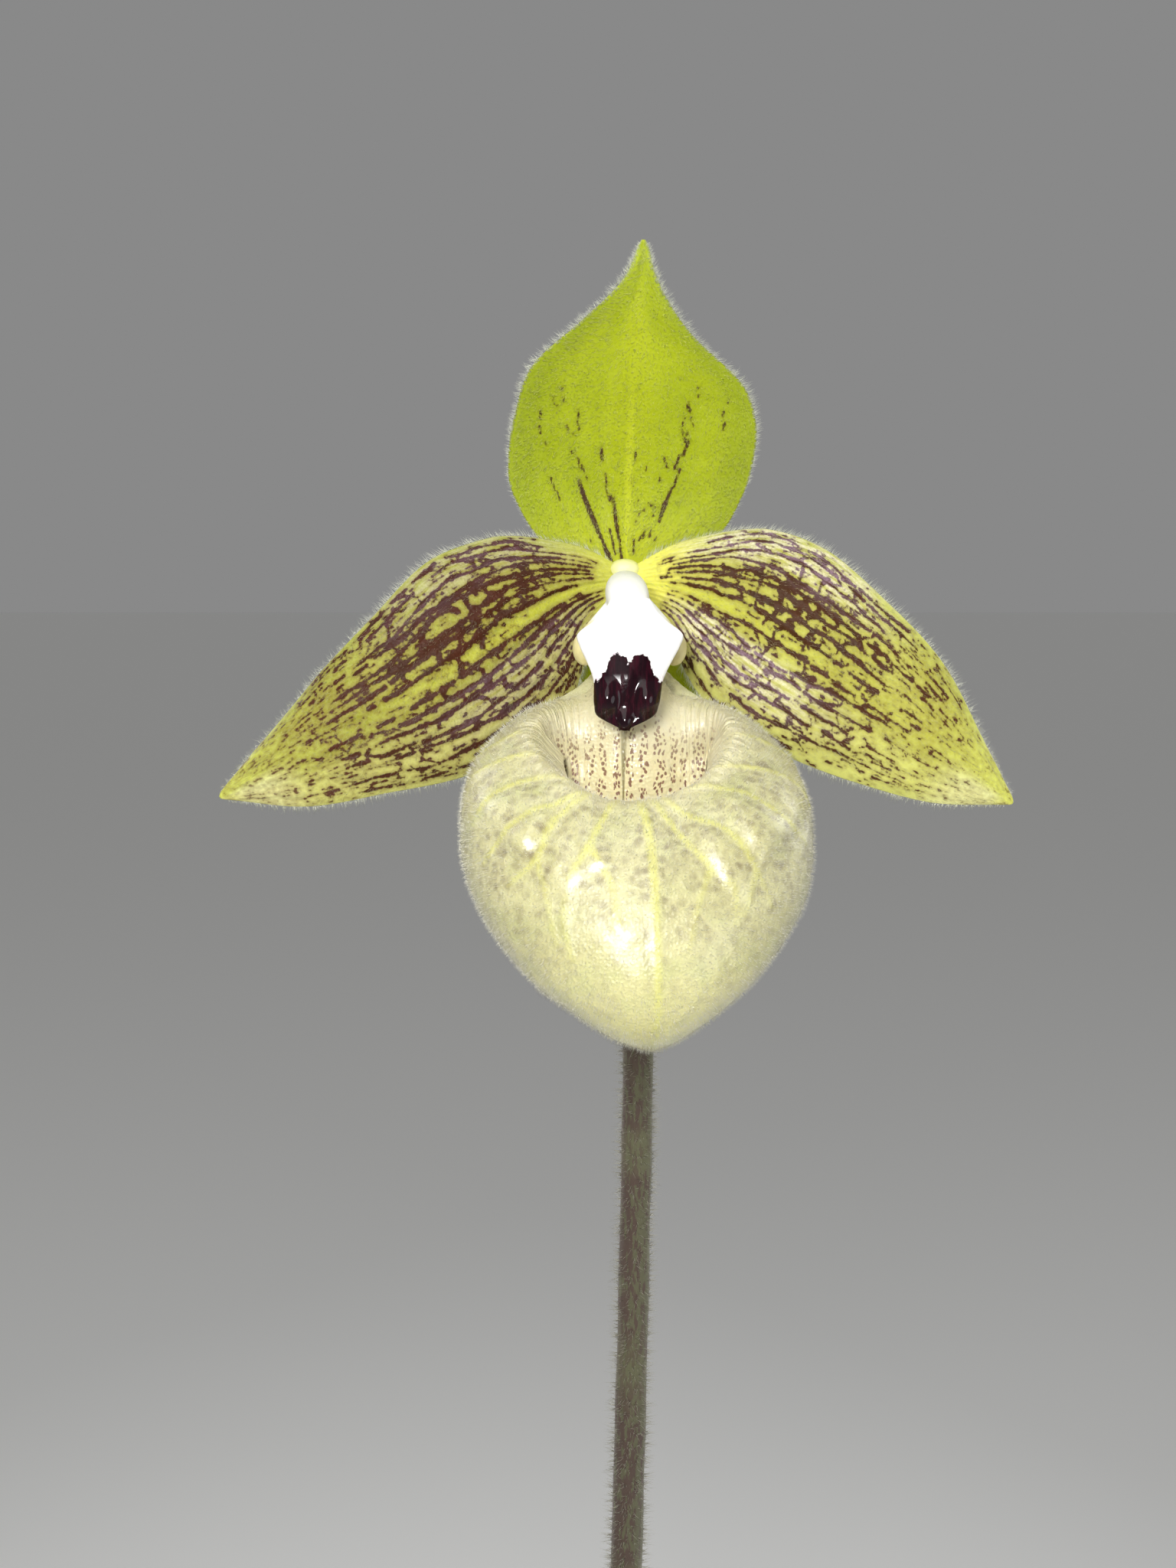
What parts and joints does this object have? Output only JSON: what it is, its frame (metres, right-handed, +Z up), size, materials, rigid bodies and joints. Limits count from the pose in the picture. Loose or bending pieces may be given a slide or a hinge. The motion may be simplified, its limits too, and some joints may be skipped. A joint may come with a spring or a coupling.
{
  "type": "potted slipper orchid in flower",
  "caption": "Slipper orchid in a plain round nursery pot of bark, with a fan of strap leaves and one pouched flower on a tall hairy stalk.",
  "frame": {"origin": "centre of the pot's flat underside", "axes": "+Z up the stalk; the flower faces -Y; the leaves spread along X"},
  "size_m": [0.2911, 0.12, 0.4315],
  "materials": {
    "pot_plastic": "satin",
    "bark": "matte",
    "root": "matte",
    "leaf": "satin",
    "stalk": "matte",
    "bract": "matte",
    "sepal": "satin",
    "petal": "satin",
    "lip": "satin",
    "column": "satin",
    "staminode": "gloss"
  },
  "bodies": {
    "root": {"pot": "pot_plastic", "bark_mix": "bark", "crown_and_roots": "root", "leaf_1": "leaf", "leaf_2": "leaf", "leaf_3": "leaf", "leaf_4": "leaf", "leaf_5": "leaf", "leaf_6": "leaf", "flower_stalk": "stalk", "ovary": "stalk", "bract": "bract", "dorsal_sepal": "sepal", "synsepal": "sepal", "petal_left": "petal", "petal_right": "petal", "lip": "lip", "column": "column", "staminode": "staminode"}
  },
  "joints": []
}
